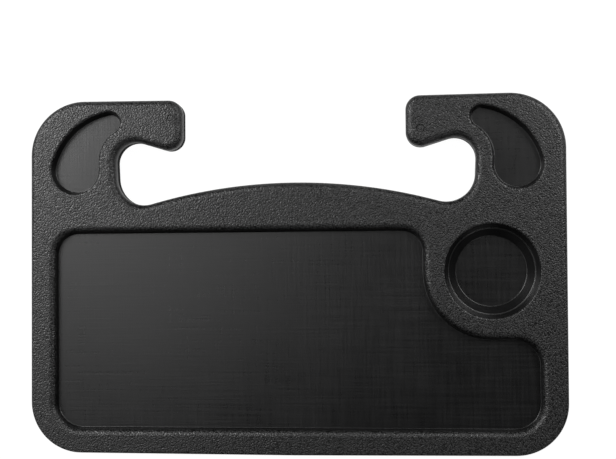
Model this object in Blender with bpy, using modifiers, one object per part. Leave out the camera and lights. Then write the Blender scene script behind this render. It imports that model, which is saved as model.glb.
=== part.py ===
# A tray that hangs on a steering wheel, built as two moulded shells held together by screws.
# The food side faces up. The two hooks point away from the sitter, along +Y.
import math

import bmesh
import bpy

for old_object in list(bpy.data.objects):
    bpy.data.objects.remove(old_object, do_unlink=True)

# Heights and walls
tray_height = 0.022
joint_height = 0.011
wall = 0.0022
fit_gap = 0.0003
overrun = 0.002
top_edge_radius = 0.0055
bottom_edge_radius = 0.0045

# Outline of the board, half of it, measured from the middle
bottom_reach = 0.14085
bottom_bow = 0.0011
bottom_half_width = 0.2110
bottom_corner_radius = 0.0404
top_half_width = 0.2128
top_reach = 0.1411
top_corner_radius = 0.0435

# Hooks
hook_tip_half_gap = 0.0888
hook_tip_drop = 0.0009
hook_tip_upper_radius = 0.0114
hook_tip_lower_radius = 0.0116
hook_tip_length = 0.0441
hook_root_reach = 0.0554
hook_root_rise = 0.0170
hook_upper_radius = 0.0163
hook_lower_reach = 0.0539
hook_lower_radius = 0.0227

# Arch between the hooks, in front of the wheel's hub
arch_top = 0.0731
arch_radius = 0.421

# Main recess
recess_side_margin = 0.0193
recess_bottom_margin = 0.0197
recess_arch_margin = 0.0381
recess_depth = 0.008
recess_upper_radius = 0.0175
recess_lower_radius = 0.0210
recess_draft = 0.0003
recess_mouth_radius = 0.0050
recess_foot_radius = 0.0007

# Cup well
cup_side_margin = 0.0564
cup_arch_margin = 0.0711
cup_mouth_radius = 0.0365
cup_guard_width = 0.0162
cup_step_depth = 0.0075
cup_step_radius = 0.0333
cup_step_width = 0.0008
cup_floor_radius = 0.0278
cup_rim_radius = 0.0012

# Corner pockets: a round lobe and a small round tip joined by two arcs
pocket_side_margin = 0.0181
pocket_top_margin = 0.0100
pocket_lobe_drop = 0.0555
pocket_lobe_radius = 0.0193
pocket_tip_reach = 0.0279
pocket_tip_radius = 0.0085
pocket_outer_radius = 0.0574
pocket_inner_radius = 0.0282
pocket_depth = 0.008
pocket_draft = 0.0010
pocket_mouth_radius = 0.0021
pocket_foot_radius = 0.0006

# Lip of the lower shell that locates the upper one
lip_thickness = 0.0012
lip_height = 0.0025
lip_root = 0.0040

# Underside panel and pen groove
panel_margin = 0.0200
panel_depth = 0.0020
panel_radius = 0.0120
panel_wall = 0.0025
pen_groove_length = 0.1200
pen_groove_width = 0.0120
pen_groove_depth = 0.0060
pen_groove_draft = 0.0008
pen_groove_arch_margin = 0.0175

# Ribs under the main recess
rib_thickness = 0.0016
rib_seat_gap = 0.0003
rib_margin = 0.0120
long_rib_count = 2
cross_rib_count = 5

# Screws and what holds them
screw_head_radius = 0.0030
screw_head_height = 0.0018
screw_head_round = 0.0005
screw_shank_radius = 0.0014
screw_point_height = 0.0016
screw_tip_spare = 0.0026
cross_length = 0.0034
cross_width = 0.0007
cross_depth = 0.0009
screw_clearance = 0.0004
boss_wall = 0.0018
boss_end_height = 0.0080
seat_thickness = 0.0022
seat_wall = 0.0014
pilot_spare = 0.0014

# Where the screws stand, measured from the edges beside them
left_tip_screw_side = 0.0086
left_tip_screw_drop = 0.0160
right_tip_screw_side = 0.0131
right_tip_screw_drop = 0.0281
corner_screw_margin = 0.0084
left_corner_screw_turn = math.radians(22)
right_corner_screw_turn = math.radians(44)
side_screw_margin = 0.0100
side_screw_drop = 0.0500
arch_screw_margin = 0.0215
arch_screw_gap = 0.0200
front_screw_margin = 0.0095
front_screw_reach = 0.0760

# Fineness of the round forms
arc_step = math.radians(14)
arch_steps = 10
edge_steps = 3
small_edge_steps = 2
turn_steps = 36
screw_steps = 12
same_point = 0.00002

# Heights worked out from the sizes above
upper_skirt_end = joint_height + fit_gap
screw_end = tray_height - wall - screw_tip_spare
recess_floor = tray_height - recess_depth
recess_under = recess_floor - wall
pocket_floor = tray_height - pocket_depth
panel_top = panel_depth + panel_wall
cup_under = panel_top + fit_gap
cup_floor = cup_under + wall
seat_under = boss_end_height - fit_gap - seat_thickness
cup_x = bottom_half_width - cup_side_margin
cup_y = arch_top - cup_arch_margin

parts = bpy.data.collections.new("steering_wheel_tray")
cutters = bpy.data.collections.new("cutters")
bpy.context.scene.collection.children.link(parts)
bpy.context.scene.collection.children.link(cutters)


def plastic(name, colour, roughness, metallic):
    """A plain material for one piece."""
    material = bpy.data.materials.new(name)
    material.use_nodes = True
    shader = material.node_tree.nodes["Principled BSDF"]
    shader.inputs["Base Color"].default_value = (*colour, 1)
    shader.inputs["Roughness"].default_value = roughness
    shader.inputs["Metallic"].default_value = metallic
    return material


def arc(centre, radius, start, end, step=None):
    """Points of an arc from the angle start to the angle end."""
    count = max(2, math.ceil(abs(end - start) / (step or arc_step)))
    points = []
    for index in range(count + 1):
        angle = start + (end - start) * index / count
        points.append((centre[0] + radius * math.cos(angle), centre[1] + radius * math.sin(angle)))
    return points


def angle_between(centre, point):
    return math.atan2(point[1] - centre[1], point[0] - centre[0])


def corner_arc(before, corner, after, radius):
    """Centre, radius and angles of the arc that rounds a corner of a path, never longer than its sides."""
    back = math.atan2(before[1] - corner[1], before[0] - corner[0])
    ahead = math.atan2(after[1] - corner[1], after[0] - corner[0])
    opening = (ahead - back + math.pi) % math.tau - math.pi
    half = abs(opening) / 2
    room = min(math.dist(before, corner), math.dist(corner, after)) * math.tan(half)
    radius = min(radius, room)
    middle = back + opening / 2
    reach = radius / math.sin(half)
    centre = (corner[0] + reach * math.cos(middle), corner[1] + reach * math.sin(middle))
    sweep = math.pi - 2 * half
    turn = -1 if opening > 0 else 1
    start = middle + math.pi - turn * sweep / 2
    return centre, radius, start, start + turn * sweep


def rounded_path(corners, closed):
    """A path through corners of the form (x, y, radius), each rounded by its radius."""
    points = []
    last = len(corners) - 1
    for index, (x, y, radius) in enumerate(corners):
        if not closed and index in (0, last):
            points.append((x, y))
            continue
        before = corners[index - 1]
        after = corners[(index + 1) % len(corners)]
        points += arc(*corner_arc(before[:2], (x, y), after[:2], radius))
    return [here for index, here in enumerate(points) if math.dist(here, points[index - 1]) > same_point]


def circle_crossing(first, first_radius, second, second_radius, side):
    """Where two circles cross, on the left of the way from first to second when side is 1."""
    apart = math.dist(first, second)
    along = (first_radius ** 2 - second_radius ** 2 + apart ** 2) / (2 * apart)
    across = math.sqrt(max(first_radius ** 2 - along ** 2, 0))
    unit = ((second[0] - first[0]) / apart, (second[1] - first[1]) / apart)
    x = first[0] + unit[0] * along - unit[1] * across * side
    y = first[1] + unit[1] * along + unit[0] * across * side
    return (x, y)


def edge_corners():
    """The corners of the right half's lower and outer edges, with their radii."""
    return [
        (0, -bottom_reach, 0),
        (bottom_half_width, -bottom_reach + bottom_bow, bottom_corner_radius),
        (top_half_width, top_reach, top_corner_radius),
    ]


def board_outline():
    """The whole outline of the board, anticlockwise from the middle of the arch."""
    tip_top = top_reach - hook_tip_drop
    tip_bottom = tip_top - hook_tip_length
    root_x = hook_tip_half_gap + hook_root_reach
    root_y = tip_bottom + hook_root_rise
    lower_x = hook_tip_half_gap + hook_lower_reach - hook_lower_radius
    arch_centre = (0, arch_top - arch_radius)
    lower_y = arch_centre[1] + math.sqrt((arch_radius + hook_lower_radius) ** 2 - lower_x ** 2)
    lower_centre = (lower_x, lower_y)
    meet = angle_between(arch_centre, lower_centre)
    corners = edge_corners() + [
        (hook_tip_half_gap, tip_top, hook_tip_upper_radius),
        (hook_tip_half_gap, tip_bottom, hook_tip_lower_radius),
        (root_x, root_y, hook_upper_radius),
        (lower_x + hook_lower_radius, lower_y, 0),
    ]
    half = rounded_path(corners, False)
    half += arc(lower_centre, hook_lower_radius, 0, meet - math.pi)[1:]
    sweep = math.pi / 2 - meet
    half += arc(arch_centre, arch_radius, meet, math.pi / 2, sweep / arch_steps)[1:]
    mirrored = [(-x, y) for x, y in reversed(half[1:-1])]
    return half + mirrored


def recess_outline():
    """The main recess: a rounded rectangle that makes room for the cup well."""
    right = bottom_half_width - recess_side_margin
    bottom = -bottom_reach + recess_bottom_margin
    top = arch_top - recess_arch_margin
    guard = cup_mouth_radius + cup_guard_width
    inner = cup_x - guard
    lower = cup_y - guard
    corners = [
        (inner, cup_y, 0),
        (inner, top, recess_upper_radius),
        (-right, top, recess_upper_radius),
        (-right, bottom, recess_lower_radius),
        (right, bottom, recess_lower_radius),
        (right, lower, recess_lower_radius),
        (cup_x, lower, 0),
    ]
    path = rounded_path(corners, False)
    return path + arc((cup_x, cup_y), guard, -math.pi / 2, -math.pi)[1:-1]


def pocket_outline(side):
    """One corner pocket. The right one has side 1 and the left one is its mirror image."""
    lobe = (top_half_width - pocket_side_margin - pocket_lobe_radius, top_reach - pocket_lobe_drop)
    tip = (lobe[0] - pocket_tip_reach, top_reach - pocket_top_margin - pocket_tip_radius)
    outer = circle_crossing(lobe, pocket_outer_radius - pocket_lobe_radius,
                            tip, pocket_outer_radius - pocket_tip_radius, 1)
    inner = circle_crossing(lobe, pocket_inner_radius + pocket_lobe_radius,
                            tip, pocket_inner_radius + pocket_tip_radius, 1)
    lobe_end = angle_between(outer, lobe)
    tip_start = angle_between(outer, tip)
    tip_end = angle_between(inner, tip)
    lobe_start = angle_between(inner, lobe)
    points = arc(outer, pocket_outer_radius, lobe_end, tip_start)
    points += arc(tip, pocket_tip_radius, tip_start, tip_end + math.pi)[1:]
    points += arc(inner, pocket_inner_radius, tip_end, lobe_start)[1:]
    points += arc(lobe, pocket_lobe_radius, lobe_start + math.pi, lobe_end + math.tau)[1:-1]
    if side > 0:
        return points
    return [(-x, y) for x, y in reversed(points)]


def rounded_box_outline(left, right, bottom, top, radius):
    corners = [(left, bottom), (right, bottom), (right, top), (left, top)]
    return rounded_path([(x, y, radius) for x, y in corners], True)


def inset(points, distance):
    """The outline moved inwards by distance, or outwards where it is negative."""
    moved = []
    for index, here in enumerate(points):
        before = points[index - 1]
        after = points[(index + 1) % len(points)]
        back = math.dist(before, here)
        ahead = math.dist(here, after)
        first = ((before[1] - here[1]) / back, (here[0] - before[0]) / back)
        second = ((here[1] - after[1]) / ahead, (after[0] - here[0]) / ahead)
        spread = 1 + first[0] * second[0] + first[1] * second[1]
        x = here[0] + (first[0] + second[0]) * distance / spread
        y = here[1] + (first[1] + second[1]) * distance / spread
        moved.append((x, y))
    return moved


def bend(inset_centre, height_centre, radius, start, end, steps):
    """Levels of a rounded edge, as (inset, height), where the angle 0 is the outer side."""
    levels = []
    for index in range(steps + 1):
        angle = start + (end - start) * index / steps
        levels.append((inset_centre - radius * math.cos(angle), height_centre + radius * math.sin(angle)))
    return levels


def place(name, mesh, material, collection):
    """An object for a mesh, in its collection."""
    piece = bpy.data.objects.new(name, mesh)
    collection.objects.link(piece)
    if material:
        mesh.materials.append(material)
    if collection is cutters:
        piece.hide_render = True
        piece.display_type = "WIRE"
    return piece


def loft(name, outline, levels, material=None, collection=cutters):
    """A closed solid skinned over the outline at each (inset, height), flat at both ends."""
    shape = bmesh.new()
    rings = []
    for distance, height in levels:
        rings.append([shape.verts.new((x, y, height)) for x, y in inset(outline, distance)])
    for low, high in zip(rings, rings[1:]):
        for index in range(len(outline)):
            after = (index + 1) % len(outline)
            shape.faces.new((low[index], low[after], high[after], high[index]))
    shape.faces.new(rings[0])
    shape.faces.new(rings[-1])
    bmesh.ops.recalc_face_normals(shape, faces=shape.faces)
    mesh = bpy.data.meshes.new(name)
    shape.to_mesh(mesh)
    shape.free()
    return place(name, mesh, material, collection)


def turned(name, profile, steps, x, y):
    """A solid turned about a vertical axis. The profile runs from the top down to the bottom."""
    mesh = bpy.data.meshes.new(name)
    edges = [(index, index + 1) for index in range(len(profile) - 1)]
    mesh.from_pydata([(radius, 0, height) for radius, height in profile], edges, [])
    piece = place(name, mesh, None, cutters)
    piece.location = (x, y, 0)
    screw = piece.modifiers.new("Turn", "SCREW")
    screw.steps = steps
    screw.render_steps = steps
    screw.use_merge_vertices = True
    screw.merge_threshold = same_point
    return piece


def cylinder(name, radius, bottom, top, x, y):
    mesh = bpy.data.meshes.new(name)
    shape = bmesh.new()
    bmesh.ops.create_cone(shape, cap_ends=True, segments=screw_steps, radius1=radius,
                          radius2=radius, depth=top - bottom)
    shape.to_mesh(mesh)
    shape.free()
    piece = place(name, mesh, None, cutters)
    piece.location = (x, y, (top + bottom) / 2)
    return piece


def block(name, size, centre):
    mesh = bpy.data.meshes.new(name)
    shape = bmesh.new()
    bmesh.ops.create_cube(shape, size=1)
    bmesh.ops.scale(shape, vec=size, verts=shape.verts)
    shape.to_mesh(mesh)
    shape.free()
    piece = place(name, mesh, None, cutters)
    piece.location = centre
    return piece


def combine(target, tools, operation):
    """Join all the tools to the target, or cut them all out of the target, in one step."""
    group = bpy.data.collections.new(f"{target.name}_{operation.lower()}")
    cutters.children.link(group)
    for tool in tools:
        cutters.objects.unlink(tool)
        group.objects.link(tool)
    step = target.modifiers.new(group.name, "BOOLEAN")
    step.operation = operation
    step.solver = "EXACT"
    step.operand_type = "COLLECTION"
    step.collection = group


def recess_levels(floor, draft, mouth, foot):
    """The hollow of a recess, from its floor up past the rim, rounded at its foot and mouth."""
    levels = bend(draft + foot, floor + foot, foot, -math.pi / 2, 0, small_edge_steps)
    levels += bend(-mouth, tray_height - mouth, mouth, math.pi, math.pi / 2, edge_steps)
    return levels + [(-mouth, tray_height + overrun)]


def tub_levels(floor, draft, mouth, foot):
    """The outside of a recess's walls, under the rim, which follows its rounded mouth."""
    levels = bend(draft + foot, floor + foot, foot + wall, -math.pi / 2, 0, small_edge_steps)
    if mouth > wall:
        levels += bend(-mouth, tray_height - mouth, mouth - wall, math.pi, math.pi / 2, small_edge_steps)
        return levels + [(-mouth, tray_height - wall / 2)]
    return levels + [(-wall, tray_height - wall / 2)]


def cup_hollow():
    """The stepped hollow of the cup well, turned about its own axis."""
    rim = cup_mouth_radius + cup_rim_radius
    top = tray_height - cup_rim_radius
    profile = [(0, tray_height + overrun), (rim, tray_height + overrun)]
    for index in range(small_edge_steps + 1):
        angle = math.pi / 2 + (math.pi / 2) * index / small_edge_steps
        profile.append((rim + cup_rim_radius * math.cos(angle), top + cup_rim_radius * math.sin(angle)))
    profile.append((cup_step_radius + cup_step_width, tray_height - cup_step_depth))
    profile.append((cup_step_radius, tray_height - cup_step_depth))
    profile.append((cup_floor_radius, cup_floor))
    profile.append((0, cup_floor))
    return turned("cup_hollow", profile, turn_steps, cup_x, cup_y)


def cup_tub():
    """The outside of the cup well, under the rim."""
    ledge = tray_height - cup_step_depth - wall
    profile = [
        (0, tray_height - wall / 2),
        (cup_mouth_radius + wall, tray_height - wall / 2),
        (cup_step_radius + cup_step_width + wall, ledge),
        (cup_floor_radius + wall, cup_under),
        (0, cup_under),
    ]
    return turned("cup_tub", profile, turn_steps, cup_x, cup_y)


def corner_screw_place(turn):
    """A place in the lower right corner, inside its rounding, at an angle below the +X direction."""
    before, corner, after = edge_corners()
    centre, radius, _, _ = corner_arc(before[:2], corner[:2], after[:2], corner[2])
    reach = radius - corner_screw_margin
    return (centre[0] + reach * math.cos(turn), centre[1] - reach * math.sin(turn))


def screw_places():
    """Where the screws stand, by name."""
    side_y = cup_y - side_screw_drop
    rise_share = (side_y + bottom_reach) / (top_reach + bottom_reach)
    side_x = bottom_half_width + (top_half_width - bottom_half_width) * rise_share - side_screw_margin
    left_corner = corner_screw_place(left_corner_screw_turn)
    right_corner = corner_screw_place(right_corner_screw_turn)
    front_y = -bottom_reach + front_screw_margin
    arch_x = pen_groove_length / 2 + arch_screw_gap
    arch_y = arch_top - arch_screw_margin
    return {
        "left_tip_screw": (-hook_tip_half_gap - left_tip_screw_side, top_reach - left_tip_screw_drop),
        "right_tip_screw": (hook_tip_half_gap + right_tip_screw_side, top_reach - right_tip_screw_drop),
        "left_corner_screw": (-left_corner[0], left_corner[1]),
        "right_corner_screw": right_corner,
        "left_side_screw": (-side_x, side_y),
        "right_side_screw": (side_x, side_y),
        "left_arch_screw": (-arch_x, arch_y),
        "right_arch_screw": (arch_x, arch_y),
        "left_front_screw": (-front_screw_reach, front_y),
        "right_front_screw": (front_screw_reach, front_y),
    }


def rib_bodies():
    """The ribs that stiffen the recess floor and stand just over the underside panel."""
    left = -(bottom_half_width - recess_side_margin) + rib_margin
    right = cup_x - cup_mouth_radius - cup_guard_width - rib_margin
    front = -bottom_reach + recess_bottom_margin + rib_margin
    back = arch_top - recess_arch_margin - rib_margin
    low = panel_top + rib_seat_gap
    high = recess_under + wall / 2
    middle = (low + high) / 2
    ribs = []
    for index in range(long_rib_count):
        y = front + (back - front) * (index + 1) / (long_rib_count + 1)
        size = (right - left, rib_thickness, high - low)
        ribs.append(block(f"long_rib_{index + 1}", size, ((left + right) / 2, y, middle)))
    for index in range(cross_rib_count):
        x = left + (right - left) * (index + 1) / (cross_rib_count + 1)
        size = (rib_thickness, back - front, high - low)
        ribs.append(block(f"cross_rib_{index + 1}", size, (x, (front + back) / 2, middle)))
    return ribs


def make_upper_shell():
    """The food side: rim, skirt, recesses, cup well, ribs and screw bosses in one moulding."""
    edge = top_edge_radius
    levels = bend(edge, tray_height - edge, edge, math.pi / 2, 0, edge_steps)
    levels += [(0, upper_skirt_end), (wall, upper_skirt_end)]
    levels += bend(edge, tray_height - edge, edge - wall, 0, math.pi / 2, edge_steps)
    material = plastic("rim_plastic", (0.022, 0.022, 0.023), 0.55, 0)
    shell = loft("upper_shell", board_outline(), levels, material, parts)
    recess = (recess_floor, recess_draft, recess_mouth_radius, recess_foot_radius)
    pocket = (pocket_floor, pocket_draft, pocket_mouth_radius, pocket_foot_radius)
    pilot = screw_shank_radius + screw_clearance
    joined = [loft("recess_tub", recess_outline(), tub_levels(*recess)), cup_tub()] + rib_bodies()
    cut = [loft("recess_hollow", recess_outline(), recess_levels(*recess)), cup_hollow()]
    for side, name in ((-1, "left"), (1, "right")):
        joined.append(loft(f"{name}_pocket_tub", pocket_outline(side), tub_levels(*pocket)))
        cut.append(loft(f"{name}_pocket_hollow", pocket_outline(side), recess_levels(*pocket)))
    for name, (x, y) in screw_places().items():
        joined.append(cylinder(f"{name}_boss", pilot + boss_wall, boss_end_height,
                               tray_height - wall / 2, x, y))
        cut.append(cylinder(f"{name}_pilot", pilot, boss_end_height - overrun, screw_end + pilot_spare, x, y))
    combine(shell, joined, "UNION")
    combine(shell, cut, "DIFFERENCE")
    return shell


def make_lower_shell():
    """The underside: panel, pen groove, wall, locating lip and screw seats in one moulding."""
    lip_outside = wall + fit_gap
    lip_inside = lip_outside + lip_thickness
    edge = bottom_edge_radius
    levels = bend(edge, edge, edge, -math.pi / 2, 0, edge_steps)
    levels += [(0, joint_height), (lip_outside, joint_height), (lip_outside, joint_height + lip_height)]
    levels += [(lip_inside, joint_height + lip_height), (lip_inside, joint_height - lip_thickness)]
    levels += [(wall, joint_height - lip_root)]
    levels += bend(edge, edge, edge - wall, 0, -math.pi / 2, edge_steps)
    material = plastic("underside_plastic", (0.022, 0.022, 0.023), 0.6, 0)
    shell = loft("lower_shell", board_outline(), levels, material, parts)
    half_width = bottom_half_width - panel_margin
    panel = rounded_box_outline(-half_width, half_width, -bottom_reach + panel_margin,
                                arch_top - recess_arch_margin, panel_radius)
    groove_y = arch_top - pen_groove_arch_margin
    half_groove = pen_groove_width / 2
    groove = rounded_box_outline(-pen_groove_length / 2, pen_groove_length / 2,
                                 groove_y - half_groove, groove_y + half_groove, half_groove)
    joined = [loft("panel_plate", panel, [(-wall, wall / 2), (-wall, panel_top)])]
    joined.append(loft("groove_tub", groove, [(-wall, wall / 2), (0, pen_groove_depth + wall)]))
    cut = [loft("panel_hollow", panel, [(0, -overrun), (0, panel_depth)])]
    cut.append(loft("groove_hollow", groove, [(0, -overrun), (0, 0), (pen_groove_draft, pen_groove_depth)]))
    head = screw_head_radius + screw_clearance
    for name, (x, y) in screw_places().items():
        joined.append(cylinder(f"{name}_seat", head + seat_wall, wall / 2, boss_end_height - fit_gap, x, y))
        cut.append(cylinder(f"{name}_bore", head, -overrun, seat_under, x, y))
        cut.append(cylinder(f"{name}_hole", screw_shank_radius + screw_clearance, -overrun,
                            boss_end_height + overrun, x, y))
    combine(shell, joined, "UNION")
    combine(shell, cut, "DIFFERENCE")
    return shell


def make_screws():
    """The screws, all alike. They share one mesh."""
    head_top = seat_under - fit_gap
    head_bottom = head_top - screw_head_height
    profile = [
        (0, screw_end),
        (screw_shank_radius, screw_end - screw_point_height),
        (screw_shank_radius, head_top),
        (screw_head_radius, head_top),
        (screw_head_radius, head_bottom + screw_head_round),
        (screw_head_radius - screw_head_round, head_bottom),
        (0, head_bottom),
    ]
    pattern = turned("screw_pattern", profile, screw_steps, 0, 0)
    cross_height = cross_depth + overrun
    cross_middle = head_bottom + cross_depth - cross_height / 2
    bar = block("cross_bar", (cross_length, cross_width, cross_height), (0, 0, cross_middle))
    arm = block("cross_arm", (cross_width, cross_length, cross_height), (0, 0, cross_middle))
    combine(pattern, [bar, arm], "DIFFERENCE")
    graph = bpy.context.evaluated_depsgraph_get()
    mesh = bpy.data.meshes.new_from_object(pattern.evaluated_get(graph))
    mesh.materials.append(plastic("screw_steel", (0.35, 0.35, 0.36), 0.35, 1))
    for name, (x, y) in screw_places().items():
        screw = place(name, mesh, None, parts)
        screw.location = (x, y, 0)


make_upper_shell()
make_lower_shell()
make_screws()
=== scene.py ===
# The look of the steering wheel tray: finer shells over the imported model, the plastics and the steel,
# a pale floor, soft lights and the camera.
import math

import bmesh
import bpy
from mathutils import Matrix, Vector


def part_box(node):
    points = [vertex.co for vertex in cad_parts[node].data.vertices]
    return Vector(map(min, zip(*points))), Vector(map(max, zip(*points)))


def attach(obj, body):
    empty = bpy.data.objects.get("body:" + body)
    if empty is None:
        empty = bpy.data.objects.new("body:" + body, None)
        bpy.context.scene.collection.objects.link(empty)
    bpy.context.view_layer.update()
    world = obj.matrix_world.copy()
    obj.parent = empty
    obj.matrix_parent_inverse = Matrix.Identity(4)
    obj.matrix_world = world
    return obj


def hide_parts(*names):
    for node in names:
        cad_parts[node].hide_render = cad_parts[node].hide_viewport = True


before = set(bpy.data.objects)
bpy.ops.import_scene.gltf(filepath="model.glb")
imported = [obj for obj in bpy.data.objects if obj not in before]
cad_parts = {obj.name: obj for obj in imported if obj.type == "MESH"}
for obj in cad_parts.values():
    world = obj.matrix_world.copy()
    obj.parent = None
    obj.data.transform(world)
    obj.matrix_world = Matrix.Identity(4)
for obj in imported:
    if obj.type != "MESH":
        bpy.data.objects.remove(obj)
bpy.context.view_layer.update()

# Heights and walls, as in the solids
tray_height = 0.022
joint_height = 0.011
wall = 0.0022
fit_gap = 0.0003
top_edge_radius = 0.0055
front_edge_radius = 0.0014
bottom_edge_radius = 0.0045
lower_wall_draft = 0.0003

# Outline of the board
bottom_reach = 0.14085
bottom_bow = 0.0011
bottom_half_width = 0.2110
bottom_corner_radius = 0.0404
top_half_width = 0.2128
top_reach = 0.1411
top_corner_radius = 0.0435

# From this share of the half width outwards, a point belongs to the sides
board_side_share = 0.9

# Hooks
hook_tip_half_gap = 0.0888
hook_tip_drop = 0.0009
hook_tip_upper_radius = 0.0114
hook_tip_lower_radius = 0.0116
hook_tip_length = 0.0441
hook_root_reach = 0.0554
hook_root_rise = 0.0170
hook_upper_radius = 0.0163
hook_lower_reach = 0.0539
hook_lower_radius = 0.0227

# Arch between the hooks
arch_top = 0.0731
arch_radius = 0.421

# Main recess
recess_side_margin = 0.0193
recess_bottom_margin = 0.0197
recess_arch_margin = 0.0381
recess_depth = 0.008
recess_upper_radius = 0.0175
recess_lower_radius = 0.0210
recess_draft = 0.0003
recess_mouth_radius = 0.0050
recess_foot_radius = 0.0007

# Cup well
cup_side_margin = 0.0564
cup_arch_margin = 0.0711
cup_mouth_radius = 0.0365
cup_guard_width = 0.0162
cup_step_depth = 0.0075
cup_step_radius = 0.0333
cup_step_width = 0.0008
cup_floor_radius = 0.0278
cup_rim_radius = 0.0016
cup_edge_radius = 0.0010
cup_ledge_foot_radius = 0.0004
cup_foot_radius = 0.0008

# Corner pockets
pocket_side_margin = 0.0181
pocket_top_margin = 0.0100
pocket_lobe_drop = 0.0555
pocket_lobe_radius = 0.0193
pocket_tip_reach = 0.0279
pocket_tip_radius = 0.0085
pocket_outer_radius = 0.0574
pocket_inner_radius = 0.0282
pocket_depth = 0.008
pocket_draft = 0.0010
pocket_mouth_radius = 0.0021
pocket_foot_radius = 0.0006

# Lip of the lower shell
lip_thickness = 0.0012
lip_height = 0.0025
lip_root = 0.0040

# Underside panel and pen groove
panel_margin = 0.0200
panel_depth = 0.0020
panel_radius = 0.0120
panel_wall = 0.0025
panel_edge_radius = 0.0006
pen_groove_length = 0.1200
pen_groove_width = 0.0120
pen_groove_depth = 0.0060
pen_groove_draft = 0.0008
pen_groove_arch_margin = 0.0175

# Screws and their seats
screw_head_radius = 0.0030
screw_thread_radius = 0.0014
screw_clearance = 0.0004
boss_end_height = 0.0080
seat_thickness = 0.0022
seat_wall = 0.0014

# Shallow round marks that the bosses leave on the rim: place, radius and depth
sink_marks = [
    (-0.0976, 0.1256, 0.0026, 0.0008),
    (0.1002, 0.1138, 0.0034, 0.0012),
    (-0.2012, -0.1130, 0.0028, 0.0001),
    (0.1937, -0.1228, 0.0028, 0.0001),
]
sink_slope = 0.0005

# Seam between the shells
seam_round = 0.0003

# Fineness
arc_step = math.radians(4)
edge_steps = 8
small_edge_steps = 5
flat_support = 0.0003
circle_step = math.radians(4)
bore_step = math.radians(12)
arch_steps = 40
sharp_angle = math.radians(40)
same_point = 0.00002

# The range in which the values of a noise texture mostly lie
noise_range = (0.3, 0.7)

# Grained finish of the rim, its pits painted darker than the pebble tops as painted shade
grain_size = 0.0011
grain_depth = 0.00042
grain_turn = (0.5, 0.3, 0.7)
grain_roughness = (0.32, 0.56)
grain_gloss_range = (0.35, 0.65)
grain_pit_shade_range = (0.45, 0.65)
# Painted shade: the grain's pits are coloured darker than its pebble tops
pit_shade_colour = (0.001, 0.001, 0.001, 1)
pebble_colour = (0.007, 0.007, 0.0072, 1)

# Plastic of the smooth finishes, with the dust that lies on it in clouds, and their fine grain
plastic_colour = (0.003, 0.003, 0.0031, 1)
dust_colour = (0.008, 0.008, 0.0082, 1)
cloud_detail = 3
cloud_tone_range = (0.35, 0.7)
fine_depth = 0.0001
fine_detail = 2

# Satin finish of the recesses
satin_cloud_size = 0.06
satin_dust_share = 0.15
satin_roughness = (0.30, 0.34)
satin_grain_size = 0.0007
satin_grain_strength = 0.08
streak_size = 0.0016
streak_depth = 0.00005
streak_long = (0.03, 1, 1)
streak_tall = (1, 0.05, 1)
streak_gloss = 0.03

# Matte finish of the underside
matte_cloud_size = 0.04
matte_dust_share = 0.4
matte_roughness = (0.70, 0.80)
matte_gloss = 0.15
matte_grain_size = 0.0009
matte_grain_strength = 0.5

# Plated steel of the screws
steel_colour = (0.42, 0.42, 0.43, 1)
steel_shade = (0.3, 0.3, 0.31, 1)
steel_roughness = (0.25, 0.45)
steel_streak_size = 0.0006
steel_streak_detail = 3

# Camera: its place and turn, worked out from the photograph
camera_place = (0.08737, 0.01019, 0.86825)
camera_turn = (0.02923, 0.08935, -0.00781)
camera_lens = 63.34
camera_sensor_width = 36
camera_near = 0.01
camera_far = 100

# Lamps as name: (tilt from overhead and azimuth in degrees, distance, size, strength in watts)
lamps = {
    "key": (40, 150, 1.70, 0.750, 8.90),
    "key_near": (52, 150, 1.00, 0.450, 6.15),
    "right_near": (52, 30, 1.00, 0.450, 4.85),
    "right_soft": (28, 45, 1.00, 0.400, 0.26),
    "back": (52, 60, 1.70, 0.700, 6.90),
    "overhead": (14, 120, 1.70, 0.450, 1.02),
    "overhead_left": (14, 180, 1.70, 0.450, 0.72),
    "left_soft": (28, 180, 1.00, 0.400, 0.39),
    "left_low": (52, 210, 1.00, 0.400, 0.83),
    "front": (52, 300, 1.70, 0.700, 3.05),
}

# World and floor
world_colour = (0.003, 0.003, 0.003, 1)
backdrop_white = (1, 1, 1, 1)
floor_size = 12
floor_colour = (0.55, 0.55, 0.55, 1)
floor_white_share = 0.88
floor_gloss_share = 0.3
floor_white = 1.12

# Heights and places worked out from the sizes above
upper_skirt_end = joint_height + fit_gap
recess_floor = tray_height - recess_depth
pocket_floor = tray_height - pocket_depth
panel_top = panel_depth + panel_wall
cup_under = panel_top + fit_gap
cup_floor = cup_under + wall
seat_under = boss_end_height - fit_gap - seat_thickness
seat_top = boss_end_height - fit_gap
cup_x = bottom_half_width - cup_side_margin
cup_y = arch_top - cup_arch_margin

# Places in a shell's list of materials: its own finish, which is grain above and matte below, and satin
OWN = 0
SATIN = 1


def arc(centre, radius, start, end, step=None):
    """Points of an arc from the angle start to the angle end."""
    count = max(2, math.ceil(abs(end - start) / (step or arc_step)))
    points = []
    for index in range(count + 1):
        angle = start + (end - start) * index / count
        points.append((centre[0] + radius * math.cos(angle), centre[1] + radius * math.sin(angle)))
    return points


def angle_between(centre, point):
    """The direction from centre to point."""
    return math.atan2(point[1] - centre[1], point[0] - centre[0])


def corner_arc(before, corner, after, radius):
    """Centre, radius and angles of the arc that rounds a corner of a path, never longer than its sides."""
    back = math.atan2(before[1] - corner[1], before[0] - corner[0])
    ahead = math.atan2(after[1] - corner[1], after[0] - corner[0])
    opening = (ahead - back + math.pi) % math.tau - math.pi
    half = abs(opening) / 2
    room = min(math.dist(before, corner), math.dist(corner, after)) * math.tan(half)
    radius = min(radius, room)
    middle = back + opening / 2
    reach = radius / math.sin(half)
    centre = (corner[0] + reach * math.cos(middle), corner[1] + reach * math.sin(middle))
    sweep = math.pi - 2 * half
    turn = -1 if opening > 0 else 1
    start = middle + math.pi - turn * sweep / 2
    return centre, radius, start, start + turn * sweep


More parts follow.
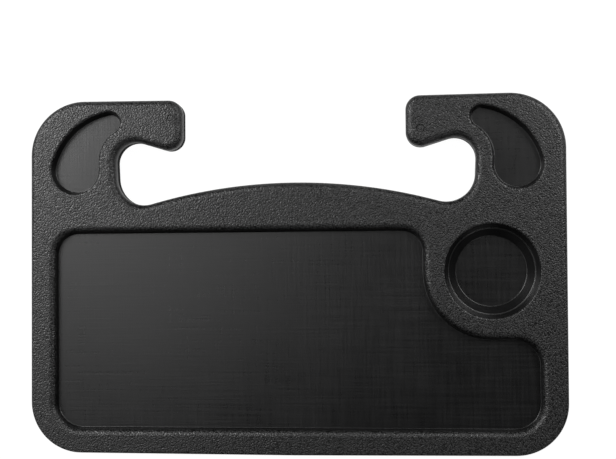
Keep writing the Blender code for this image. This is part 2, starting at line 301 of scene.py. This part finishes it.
def rounded_path(corners, closed):
    """A path through corners of the form (x, y, radius), each rounded by its radius."""
    points = []
    last = len(corners) - 1
    for index, (x, y, radius) in enumerate(corners):
        if not closed and index in (0, last):
            points.append((x, y))
            continue
        before = corners[index - 1]
        after = corners[(index + 1) % len(corners)]
        points += arc(*corner_arc(before[:2], (x, y), after[:2], radius))
    return [here for index, here in enumerate(points) if math.dist(here, points[index - 1]) > same_point]


def circle_crossing(first, first_radius, second, second_radius, side):
    """Where two circles cross, on the left of the way from first to second when side is 1."""
    apart = math.dist(first, second)
    along = (first_radius ** 2 - second_radius ** 2 + apart ** 2) / (2 * apart)
    across = math.sqrt(max(first_radius ** 2 - along ** 2, 0))
    unit = ((second[0] - first[0]) / apart, (second[1] - first[1]) / apart)
    x = first[0] + unit[0] * along - unit[1] * across * side
    y = first[1] + unit[1] * along + unit[0] * across * side
    return (x, y)


def edge_corners():
    """The corners of the right half's lower and outer edges, with their radii."""
    return [
        (0, -bottom_reach, 0),
        (bottom_half_width, -bottom_reach + bottom_bow, bottom_corner_radius),
        (top_half_width, top_reach, top_corner_radius),
    ]


def board_outline():
    """The whole outline of the board, anticlockwise from the middle of the arch."""
    tip_top = top_reach - hook_tip_drop
    tip_bottom = tip_top - hook_tip_length
    root_x = hook_tip_half_gap + hook_root_reach
    root_y = tip_bottom + hook_root_rise
    lower_x = hook_tip_half_gap + hook_lower_reach - hook_lower_radius
    arch_centre = (0, arch_top - arch_radius)
    lower_y = arch_centre[1] + math.sqrt((arch_radius + hook_lower_radius) ** 2 - lower_x ** 2)
    lower_centre = (lower_x, lower_y)
    meet = angle_between(arch_centre, lower_centre)
    corners = edge_corners() + [
        (hook_tip_half_gap, tip_top, hook_tip_upper_radius),
        (hook_tip_half_gap, tip_bottom, hook_tip_lower_radius),
        (root_x, root_y, hook_upper_radius),
        (lower_x + hook_lower_radius, lower_y, 0),
    ]
    half = rounded_path(corners, False)
    half += arc(lower_centre, hook_lower_radius, 0, meet - math.pi)[1:]
    arch_step = (math.pi / 2 - meet) / arch_steps
    half += arc(arch_centre, arch_radius, meet, math.pi / 2, arch_step)[1:]
    mirrored = [(-x, y) for x, y in reversed(half[1:-1])]
    return half + mirrored


def recess_outline():
    """The main recess: a rounded rectangle that makes room for the cup well."""
    right = bottom_half_width - recess_side_margin
    bottom = -bottom_reach + recess_bottom_margin
    top = arch_top - recess_arch_margin
    guard = cup_mouth_radius + cup_guard_width
    inner = cup_x - guard
    lower = cup_y - guard
    corners = [
        (inner, cup_y, 0),
        (inner, top, recess_upper_radius),
        (-right, top, recess_upper_radius),
        (-right, bottom, recess_lower_radius),
        (right, bottom, recess_lower_radius),
        (right, lower, recess_lower_radius),
        (cup_x, lower, 0),
    ]
    path = rounded_path(corners, False)
    return path + arc((cup_x, cup_y), guard, -math.pi / 2, -math.pi)[1:-1]


def pocket_outline(side):
    """One corner pocket. The right one has side 1 and the left one is its mirror image."""
    lobe = (top_half_width - pocket_side_margin - pocket_lobe_radius, top_reach - pocket_lobe_drop)
    tip = (lobe[0] - pocket_tip_reach, top_reach - pocket_top_margin - pocket_tip_radius)
    outer = circle_crossing(lobe, pocket_outer_radius - pocket_lobe_radius,
                            tip, pocket_outer_radius - pocket_tip_radius, 1)
    inner = circle_crossing(lobe, pocket_inner_radius + pocket_lobe_radius,
                            tip, pocket_inner_radius + pocket_tip_radius, 1)
    lobe_end = angle_between(outer, lobe)
    tip_start = angle_between(outer, tip)
    tip_end = angle_between(inner, tip)
    lobe_start = angle_between(inner, lobe)
    points = arc(outer, pocket_outer_radius, lobe_end, tip_start)
    points += arc(tip, pocket_tip_radius, tip_start, tip_end + math.pi)[1:]
    points += arc(inner, pocket_inner_radius, tip_end, lobe_start)[1:]
    points += arc(lobe, pocket_lobe_radius, lobe_start + math.pi, lobe_end + math.tau)[1:-1]
    if side > 0:
        return points
    return [(-x, y) for x, y in reversed(points)]


def circle_outline(x, y, radius, step):
    """A circle, anticlockwise."""
    return arc((x, y), radius, 0, math.tau, step)[:-1]


def rounded_box_outline(left, right, bottom, top, radius):
    """A rectangle with round corners, anticlockwise."""
    corners = [(left, bottom), (right, bottom), (right, top), (left, top)]
    return rounded_path([(x, y, radius) for x, y in corners], True)


def inset(points, distance):
    """The outline moved inwards by distance, or outwards where it is negative. A list gives one per point."""
    distances = distance if isinstance(distance, list) else [distance] * len(points)
    moved = []
    for index, here in enumerate(points):
        before = points[index - 1]
        after = points[(index + 1) % len(points)]
        back = math.dist(before, here)
        ahead = math.dist(here, after)
        first = ((before[1] - here[1]) / back, (here[0] - before[0]) / back)
        second = ((here[1] - after[1]) / ahead, (after[0] - here[0]) / ahead)
        spread = 1 + first[0] * second[0] + first[1] * second[1]
        x = here[0] + (first[0] + second[0]) * distances[index] / spread
        y = here[1] + (first[1] + second[1]) * distances[index] / spread
        moved.append((x, y))
    return moved


def bend(inset_centre, height_centre, radius, start, end, steps):
    """Levels of a rounded edge, as (inset, height), where the angle 0 is the outer side."""
    levels = []
    for index in range(steps + 1):
        angle = start + (end - start) * index / steps
        levels.append((inset_centre - radius * math.cos(angle), height_centre + radius * math.sin(angle)))
    return levels


def wrap(shape, outline, levels, finish, ring=None):
    """A surface from ring through levels of the form (inset, height). Returns its first and last ring."""
    first = ring
    for distance, height in levels:
        heights = height if isinstance(height, list) else [height] * len(outline)
        places = zip(inset(outline, distance), heights)
        after = [shape.verts.new((x, y, level)) for (x, y), level in places]
        if ring:
            for index in range(len(outline)):
                following = (index + 1) % len(outline)
                corners = (ring[index], ring[following], after[following], after[index])
                shape.faces.new(corners).material_index = finish
        ring = after
        first = first or after
    return first, ring


def ring_edges(shape, ring):
    """The edges round a ring, made where there are none."""
    edges = []
    for index, here in enumerate(ring):
        pair = (ring[index - 1], here)
        edges.append(shape.edges.get(pair) or shape.edges.new(pair))
    return edges


def fill(shape, rings, finish):
    """A flat face between the first ring and the others inside it."""
    edges = [edge for ring in rings for edge in ring_edges(shape, ring)]
    made = bmesh.ops.triangle_fill(shape, use_beauty=True, use_dissolve=False, edges=edges)
    for face in made["geom"]:
        if isinstance(face, bmesh.types.BMFace):
            face.material_index = finish


def bridge(shape, first, second, finish):
    """A band of faces between two rings of the same count."""
    for index in range(len(first)):
        corners = (first[index - 1], first[index], second[index], second[index - 1])
        shape.faces.new(corners).material_index = finish


def finished(name, shape, materials):
    """The object for a shape, smooth but for its sharp edges."""
    bmesh.ops.recalc_face_normals(shape, faces=shape.faces)
    mesh = bpy.data.meshes.new(name)
    shape.to_mesh(mesh)
    shape.free()
    for material in materials:
        mesh.materials.append(material)
    mesh.shade_smooth()
    mesh.set_sharp_from_angle(angle=sharp_angle)
    piece = bpy.data.objects.new(name, mesh)
    bpy.context.scene.collection.objects.link(piece)
    return piece


def rim_levels(mouth):
    """The way from the rim's flat face down the rounded mouth of a recess."""
    levels = [(-mouth - flat_support, tray_height)]
    return levels + bend(-mouth, tray_height - mouth, mouth, math.pi / 2, math.pi, edge_steps)


def basin(shape, outline, floor, draft, mouth, foot):
    """A recess in the rim, rounded at its mouth and foot. Returns its ring in the rim's flat face."""
    top, ring = wrap(shape, outline, rim_levels(mouth), OWN)
    levels = bend(draft + foot, floor + foot, foot, 0, -math.pi / 2, edge_steps)
    levels += [(draft + foot + flat_support, floor)]
    _, ring = wrap(shape, outline, levels, SATIN, ring)
    fill(shape, [ring], SATIN)
    return top


def basin_under(shape, outline, floor, draft, mouth, foot):
    """The hidden side of a recess. Returns its ring in the underside of the rim."""
    levels = [(-wall, tray_height - wall)]
    if mouth > wall:
        levels = bend(-mouth, tray_height - mouth, mouth - wall, math.pi / 2, math.pi, small_edge_steps)
    levels += bend(draft + foot, floor + foot, foot + wall, 0, -math.pi / 2, small_edge_steps)
    top, ring = wrap(shape, outline, levels, SATIN)
    fill(shape, [ring], SATIN)
    return top


def rounded_profile(corners, steps):
    """An open profile through corners of the form (radius, height, rounding)."""
    path = [corners[0][:2]]
    for before, here, after in zip(corners, corners[1:], corners[2:]):
        if here[2] == 0:
            path.append(here[:2])
            continue
        centre, radius, start, end = corner_arc(before[:2], here[:2], after[:2], here[2])
        path += arc(centre, radius, start, end, abs(end - start) / steps)
    path.append(corners[-1][:2])
    return path


def cup_well(shape):
    """The stepped cup well. Returns its ring in the rim's flat face."""
    outline = circle_outline(cup_x, cup_y, cup_mouth_radius, circle_step)
    ledge = tray_height - cup_step_depth
    floor_edge = cup_floor_radius - cup_foot_radius
    corners = [
        (cup_mouth_radius, tray_height - cup_rim_radius, 0),
        (cup_step_radius + cup_step_width, ledge, cup_ledge_foot_radius),
        (cup_step_radius, ledge, cup_edge_radius),
        (cup_floor_radius, cup_floor, cup_foot_radius),
        (floor_edge, cup_floor, 0),
    ]
    profile = rounded_profile(corners, small_edge_steps)
    levels = [(cup_mouth_radius - radius, height) for radius, height in profile]
    top, ring = wrap(shape, outline, rim_levels(cup_rim_radius), OWN)
    _, ring = wrap(shape, outline, levels[1:], SATIN, ring)
    fill(shape, [ring], SATIN)
    return top


def cup_well_under(shape):
    """The hidden side of the cup well. Returns its ring in the underside of the rim."""
    outline = circle_outline(cup_x, cup_y, cup_mouth_radius, circle_step)
    ledge = tray_height - cup_step_depth - wall
    profile = [
        (cup_mouth_radius + wall, tray_height - wall),
        (cup_step_radius + cup_step_width + wall, ledge),
        (cup_floor_radius + wall, cup_under),
    ]
    levels = [(cup_mouth_radius - radius, height) for radius, height in profile]
    top, ring = wrap(shape, outline, levels, SATIN)
    fill(shape, [ring], SATIN)
    return top


def sink_mark(shape, x, y, radius, depth):
    """A shallow round dip in the rim. Returns its ring in the rim's flat face."""
    outline = circle_outline(x, y, radius, bore_step)
    levels = [
        (-flat_support, tray_height),
        (0, tray_height),
        (sink_slope, tray_height - depth),
        (radius - sink_slope, tray_height - depth),
    ]
    top, ring = wrap(shape, outline, levels, OWN)
    fill(shape, [ring], OWN)
    return top


def edge_radii(outline):
    """The rounding of the rim's edge at each point: small along the front, full from the upper corners on."""
    front = -bottom_reach + bottom_corner_radius
    back = top_reach - top_corner_radius
    radii = []
    for x, y in outline:
        share = min(max((y - front) / (back - front), 0), 1)
        if abs(x) < board_side_share * bottom_half_width and y > front:
            share = 1
        radii.append(front_edge_radius + (top_edge_radius - front_edge_radius) * share)
    return radii


def rim_rounding(outline):
    """Levels of the rim's rounded edge, with its own radius at each point."""
    radii = edge_radii(outline)
    levels = []
    for index in range(edge_steps + 1):
        angle = math.pi / 2 * index / edge_steps
        distances = [radius * (1 - math.cos(angle)) for radius in radii]
        heights = [tray_height - radius * (1 - math.sin(angle)) for radius in radii]
        levels.append((distances, heights))
    return levels + [([radius + flat_support for radius in radii], tray_height)]


def make_upper_shell(materials):
    """The food side: rim, skirt, recesses and cup well, with their hidden sides."""
    shape = bmesh.new()
    board = board_outline()
    edge = top_edge_radius
    skirt = bend(seam_round, upper_skirt_end + seam_round, seam_round, -math.pi / 2, 0,
                 small_edge_steps)
    rounding = rim_rounding(board)
    foot, ring = wrap(shape, board, skirt + rounding[:1], SATIN)
    _, rim = wrap(shape, board, rounding[1:], OWN, ring)
    recess = basin(shape, recess_outline(), recess_floor, recess_draft, recess_mouth_radius,
                   recess_foot_radius)
    rings = [rim, recess, cup_well(shape)]
    for side in (-1, 1):
        rings.append(basin(shape, pocket_outline(side), pocket_floor, pocket_draft,
                           pocket_mouth_radius, pocket_foot_radius))
    rings += [sink_mark(shape, *mark) for mark in sink_marks]
    fill(shape, rings, OWN)
    inside = [(wall, upper_skirt_end)]
    inside += bend(edge, tray_height - edge, edge - wall, 0, math.pi / 2, small_edge_steps)
    inner_foot, under = wrap(shape, board, inside, SATIN)
    recess = basin_under(shape, recess_outline(), recess_floor, recess_draft, recess_mouth_radius,
                         recess_foot_radius)
    rings = [under, recess, cup_well_under(shape)]
    for side in (-1, 1):
        rings.append(basin_under(shape, pocket_outline(side), pocket_floor, pocket_draft,
                                 pocket_mouth_radius, pocket_foot_radius))
    fill(shape, rings, SATIN)
    bridge(shape, foot, inner_foot, SATIN)
    return finished("upper_shell_look", shape, materials)


def screw_places():
    """Where the CAD's screws stand."""
    places = {}
    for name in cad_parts:
        if name.endswith("_screw"):
            low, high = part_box(name)
            places[name] = ((low[0] + high[0]) / 2, (low[1] + high[1]) / 2)
    return places


def panel_sheet(shape, inner_side):
    """The recessed panel of the underside or its inner side. Returns its ring in the flat round it."""
    half_width = bottom_half_width - panel_margin
    outline = rounded_box_outline(-half_width, half_width, -bottom_reach + panel_margin,
                                  arch_top - recess_arch_margin, panel_radius)
    if inner_side:
        top, ring = wrap(shape, outline, [(-wall, wall), (-wall, panel_top)], OWN)
        fill(shape, [ring], OWN)
        return top
    radius = panel_edge_radius
    levels = [(-radius - flat_support, 0)]
    levels += bend(-radius, radius, radius, -math.pi / 2, -math.pi, small_edge_steps)
    levels += bend(radius, panel_depth - radius, radius, 0, math.pi / 2, small_edge_steps)
    levels += [(radius + flat_support, panel_depth)]
    top, ring = wrap(shape, outline, levels, OWN)
    fill(shape, [ring], SATIN)
    return top


def groove_sheet(shape, inner_side):
    """The pen groove of the underside or its inner side. Returns its ring in the flat round it."""
    groove_y = arch_top - pen_groove_arch_margin
    half_groove = pen_groove_width / 2
    outline = rounded_box_outline(-pen_groove_length / 2, pen_groove_length / 2,
                                  groove_y - half_groove, groove_y + half_groove, half_groove)
    if inner_side:
        top, ring = wrap(shape, outline, [(-wall, wall), (0, pen_groove_depth + wall)], OWN)
        fill(shape, [ring], OWN)
        return top
    radius = panel_edge_radius
    levels = [(-radius - flat_support, 0)]
    levels += bend(-radius, radius, radius, -math.pi / 2, -math.pi, small_edge_steps)
    levels += bend(pen_groove_draft + radius, pen_groove_depth - radius, radius, 0, math.pi / 2,
                   small_edge_steps)
    levels += [(pen_groove_draft + radius + flat_support, pen_groove_depth)]
    top, ring = wrap(shape, outline, levels, SATIN)
    fill(shape, [ring], SATIN)
    return top


def screw_seat(shape, x, y):
    """A counterbored seat through the lower shell. Returns its rings in the underside and inside."""
    head = screw_head_radius + screw_clearance
    outline = circle_outline(x, y, head, bore_step)
    shank_inset = head - screw_thread_radius - screw_clearance
    levels = [
        (-seam_round - flat_support, 0),
        (-seam_round, 0),
        (0, seam_round),
        (0, seat_under),
        (shank_inset, seat_under),
        (shank_inset, seat_top),
        (-seat_wall, seat_top),
        (-seat_wall, wall),
    ]
    return wrap(shape, outline, levels, OWN)


def make_lower_shell(materials):
    """The underside: wall, panel, pen groove, screw seats and locating lip."""
    shape = bmesh.new()
    board = board_outline()
    lip_outside = wall + fit_gap
    lip_inside = lip_outside + lip_thickness
    edge = bottom_edge_radius
    outer_radius = edge - lower_wall_draft
    outside = bend(seam_round, joint_height - seam_round, seam_round, math.pi / 2, 0, small_edge_steps)
    outside += bend(edge, outer_radius, outer_radius, 0, -math.pi / 2, edge_steps)
    outside += [(edge + flat_support, 0)]
    seam, base = wrap(shape, board, outside, OWN)
    seats = [screw_seat(shape, x, y) for x, y in screw_places().values()]
    fill(shape, [base, panel_sheet(shape, False), groove_sheet(shape, False)] + [seat[0] for seat in seats],
         OWN)
    inside = [
        (lip_outside, joint_height),
        (lip_outside, joint_height + lip_height),
        (lip_inside, joint_height + lip_height),
        (lip_inside, joint_height - lip_thickness),
        (wall, joint_height - lip_root),
    ]
    inside += bend(edge, edge, edge - wall, 0, -math.pi / 2, small_edge_steps)
    lip_foot, under = wrap(shape, board, inside, OWN)
    fill(shape, [under, panel_sheet(shape, True), groove_sheet(shape, True)] + [seat[1] for seat in seats],
         OWN)
    bridge(shape, seam, lip_foot, OWN)
    return finished("lower_shell_look", shape, materials)


def new_material(name):
    """A node material with its shader, ready for its colours."""
    material = bpy.data.materials.new(name)
    material.use_nodes = True
    return material, material.node_tree, material.node_tree.nodes["Principled BSDF"]


def noise(tree, size, detail, vector):
    """A noise texture whose blotches are about size across, in metres."""
    texture = tree.nodes.new("ShaderNodeTexNoise")
    texture.inputs["Scale"].default_value = 1 / size
    texture.inputs["Detail"].default_value = detail
    tree.links.new(vector, texture.inputs["Vector"])
    return texture.outputs["Fac"]


def remap(tree, value, old_range, new_range):
    """The value stretched from one range, as (low, high), onto another."""
    stretch = tree.nodes.new("ShaderNodeMapRange")
    stretch.inputs["From Min"].default_value = old_range[0]
    stretch.inputs["From Max"].default_value = old_range[1]
    stretch.inputs["To Min"].default_value = new_range[0]
    stretch.inputs["To Max"].default_value = new_range[1]
    tree.links.new(value, stretch.inputs["Value"])
    return stretch.outputs["Result"]


def blend_colours(tree, share, first, second):
    """The first colour, with the second one over it by share."""
    mix = tree.nodes.new("ShaderNodeMix")
    mix.data_type = "RGBA"
    mix.inputs["A"].default_value = first
    mix.inputs["B"].default_value = second
    tree.links.new(share, mix.inputs["Factor"])
    return mix.outputs["Result"]


def bump(tree, height, strength, distance, before=None):
    """A bump from a height value, on top of another one if given."""
    node = tree.nodes.new("ShaderNodeBump")
    node.inputs["Strength"].default_value = strength
    node.inputs["Distance"].default_value = distance
    tree.links.new(height, node.inputs["Height"])
    if before:
        tree.links.new(before, node.inputs["Normal"])
    return node.outputs["Normal"]


def combined(tree, operation, first, second):
    """Two values joined by a math operation."""
    node = tree.nodes.new("ShaderNodeMath")
    node.operation = operation
    tree.links.new(first, node.inputs[0])
    tree.links.new(second, node.inputs[1])
    return node.outputs["Value"]


def scaled(tree, value, factor):
    """The value times a fixed factor."""
    node = tree.nodes.new("ShaderNodeMath")
    node.operation = "MULTIPLY"
    node.inputs[1].default_value = factor
    tree.links.new(value, node.inputs[0])
    return node.outputs["Value"]


def place_in_object(tree, turn=(0, 0, 0), stretch=(1, 1, 1)):
    """The place on the object, turned and stretched for a texture."""
    mapping = tree.nodes.new("ShaderNodeMapping")
    mapping.inputs["Rotation"].default_value = turn
    mapping.inputs["Scale"].default_value = stretch
    tree.links.new(tree.nodes.new("ShaderNodeTexCoord").outputs["Object"], mapping.inputs["Vector"])
    return mapping.outputs["Vector"]


def grained_plastic():
    """The rim: spark-eroded grain, each pebble with its own gloss."""
    material, tree, shader = new_material("grained_plastic")
    where = place_in_object(tree, turn=grain_turn)
    pebbles = noise(tree, grain_size, 0, where)
    # Painted shade: the lower the grain, the darker its colour, from the pebble tops down to the pits
    pit_shade_share = remap(tree, pebbles, grain_pit_shade_range, (0, 1))
    tree.links.new(blend_colours(tree, pit_shade_share, pit_shade_colour, pebble_colour), shader.inputs["Base Color"])
    tree.links.new(remap(tree, pebbles, grain_gloss_range, grain_roughness), shader.inputs["Roughness"])
    tree.links.new(bump(tree, pebbles, 1, grain_depth), shader.inputs["Normal"])
    return material


def satin_plastic():
    """The recesses: smooth satin plastic with faint flow streaks and fine handling marks."""
    material, tree, shader = new_material("satin_plastic")
    where = place_in_object(tree)
    cloud = noise(tree, satin_cloud_size, cloud_detail, where)
    fine = noise(tree, satin_grain_size, fine_detail, where)
    dust = remap(tree, cloud, cloud_tone_range, (0, satin_dust_share))
    tree.links.new(blend_colours(tree, dust, plastic_colour, dust_colour), shader.inputs["Base Color"])
    rough = remap(tree, cloud, noise_range, satin_roughness)
    normal = bump(tree, fine, satin_grain_strength, fine_depth)
    for stretch in (streak_long, streak_tall):
        streaks = noise(tree, streak_size, fine_detail, place_in_object(tree, stretch=stretch))
        gloss = remap(tree, streaks, noise_range, (-streak_gloss, streak_gloss))
        rough = combined(tree, "ADD", rough, gloss)
        normal = bump(tree, streaks, 1, streak_depth, normal)
    tree.links.new(rough, shader.inputs["Roughness"])
    tree.links.new(normal, shader.inputs["Normal"])
    return material


def matte_plastic():
    """The underside: dull plastic that shines less than the food side."""
    material, tree, shader = new_material("matte_plastic")
    where = place_in_object(tree, turn=grain_turn)
    cloud = noise(tree, matte_cloud_size, cloud_detail, where)
    fine = noise(tree, matte_grain_size, fine_detail, where)
    dust = remap(tree, cloud, cloud_tone_range, (0, matte_dust_share))
    tree.links.new(blend_colours(tree, dust, plastic_colour, dust_colour), shader.inputs["Base Color"])
    tree.links.new(remap(tree, cloud, noise_range, matte_roughness), shader.inputs["Roughness"])
    tree.links.new(bump(tree, fine, matte_grain_strength, fine_depth), shader.inputs["Normal"])
    shader.inputs["Specular IOR Level"].default_value = matte_gloss
    return material


def plated_steel():
    """The screws: zinc plated, slightly streaked."""
    material, tree, shader = new_material("plated_steel")
    where = place_in_object(tree)
    streaks = noise(tree, steel_streak_size, steel_streak_detail, where)
    shader.inputs["Metallic"].default_value = 1
    tree.links.new(blend_colours(tree, streaks, steel_colour, steel_shade), shader.inputs["Base Color"])
    tree.links.new(remap(tree, streaks, noise_range, steel_roughness), shader.inputs["Roughness"])
    return material


def make_camera():
    """The camera of the photograph's view."""
    data = bpy.data.cameras.new("camera")
    data.sensor_width = camera_sensor_width
    data.sensor_fit = "HORIZONTAL"
    data.lens = camera_lens
    data.clip_start = camera_near
    data.clip_end = camera_far
    camera = bpy.data.objects.new("camera", data)
    camera.location = camera_place
    camera.rotation_euler = camera_turn
    bpy.context.scene.collection.objects.link(camera)
    bpy.context.scene.camera = camera


def make_lamps():
    """Soft boxes that all face the tray."""
    for name, (tilt, azimuth, distance, size, strength) in lamps.items():
        data = bpy.data.lights.new(name, "AREA")
        data.shape = "SQUARE"
        data.size = size
        data.energy = strength
        lamp = bpy.data.objects.new(name, data)
        reach = distance * math.sin(math.radians(tilt))
        x = reach * math.cos(math.radians(azimuth))
        y = reach * math.sin(math.radians(azimuth))
        lamp.location = (x, y, distance * math.cos(math.radians(tilt)))
        lamp.rotation_mode = "QUATERNION"
        lamp.rotation_quaternion = lamp.location.to_track_quat("Z", "Y")
        lamp.visible_camera = False
        bpy.context.scene.collection.objects.link(lamp)


def make_world():
    """Almost no light from around, and white to the camera beyond the floor."""
    world = bpy.data.worlds.new("studio")
    bpy.context.scene.world = world
    world.use_nodes = True
    tree = world.node_tree
    seen = tree.nodes.new("ShaderNodeLightPath").outputs["Is Camera Ray"]
    colour = blend_colours(tree, seen, world_colour, backdrop_white)
    tree.links.new(colour, tree.nodes["Background"].inputs["Color"])


def make_floor():
    """A pale floor, white to the camera and in reflections, that still takes the tray's shadow."""
    shape = bmesh.new()
    bmesh.ops.create_grid(shape, x_segments=1, y_segments=1, size=floor_size / 2)
    mesh = bpy.data.meshes.new("floor")
    shape.to_mesh(mesh)
    shape.free()
    material, tree, shader = new_material("pale_floor")
    shader.inputs["Base Color"].default_value = floor_colour
    shader.inputs["Roughness"].default_value = 1
    shader.inputs["Specular IOR Level"].default_value = 0
    white = tree.nodes.new("ShaderNodeEmission")
    white.inputs["Strength"].default_value = floor_white
    path = tree.nodes.new("ShaderNodeLightPath")
    mirrored = combined(tree, "MAXIMUM", path.outputs["Is Glossy Ray"], path.outputs["Is Transmission Ray"])
    mirrored = scaled(tree, mirrored, floor_gloss_share)
    seen = scaled(tree, path.outputs["Is Camera Ray"], floor_white_share)
    share = combined(tree, "MAXIMUM", seen, mirrored)
    mix = tree.nodes.new("ShaderNodeMixShader")
    tree.links.new(share, mix.inputs["Fac"])
    tree.links.new(shader.outputs["BSDF"], mix.inputs[1])
    tree.links.new(white.outputs["Emission"], mix.inputs[2])
    tree.links.new(mix.outputs["Shader"], tree.nodes["Material Output"].inputs["Surface"])
    mesh.materials.append(material)
    floor = bpy.data.objects.new("floor", mesh)
    bpy.context.scene.collection.objects.link(floor)


make_camera()
make_lamps()
make_world()
make_floor()
satin = satin_plastic()
upper = make_upper_shell([grained_plastic(), satin])
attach(upper, "root")
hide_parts("upper_shell")
lower = make_lower_shell([matte_plastic(), satin])
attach(lower, "root")
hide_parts("lower_shell")
steel = plated_steel()
for screw_name in screw_places():
    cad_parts[screw_name].material_slots[0].material = steel
bpy.context.scene.view_settings.view_transform = "Standard"
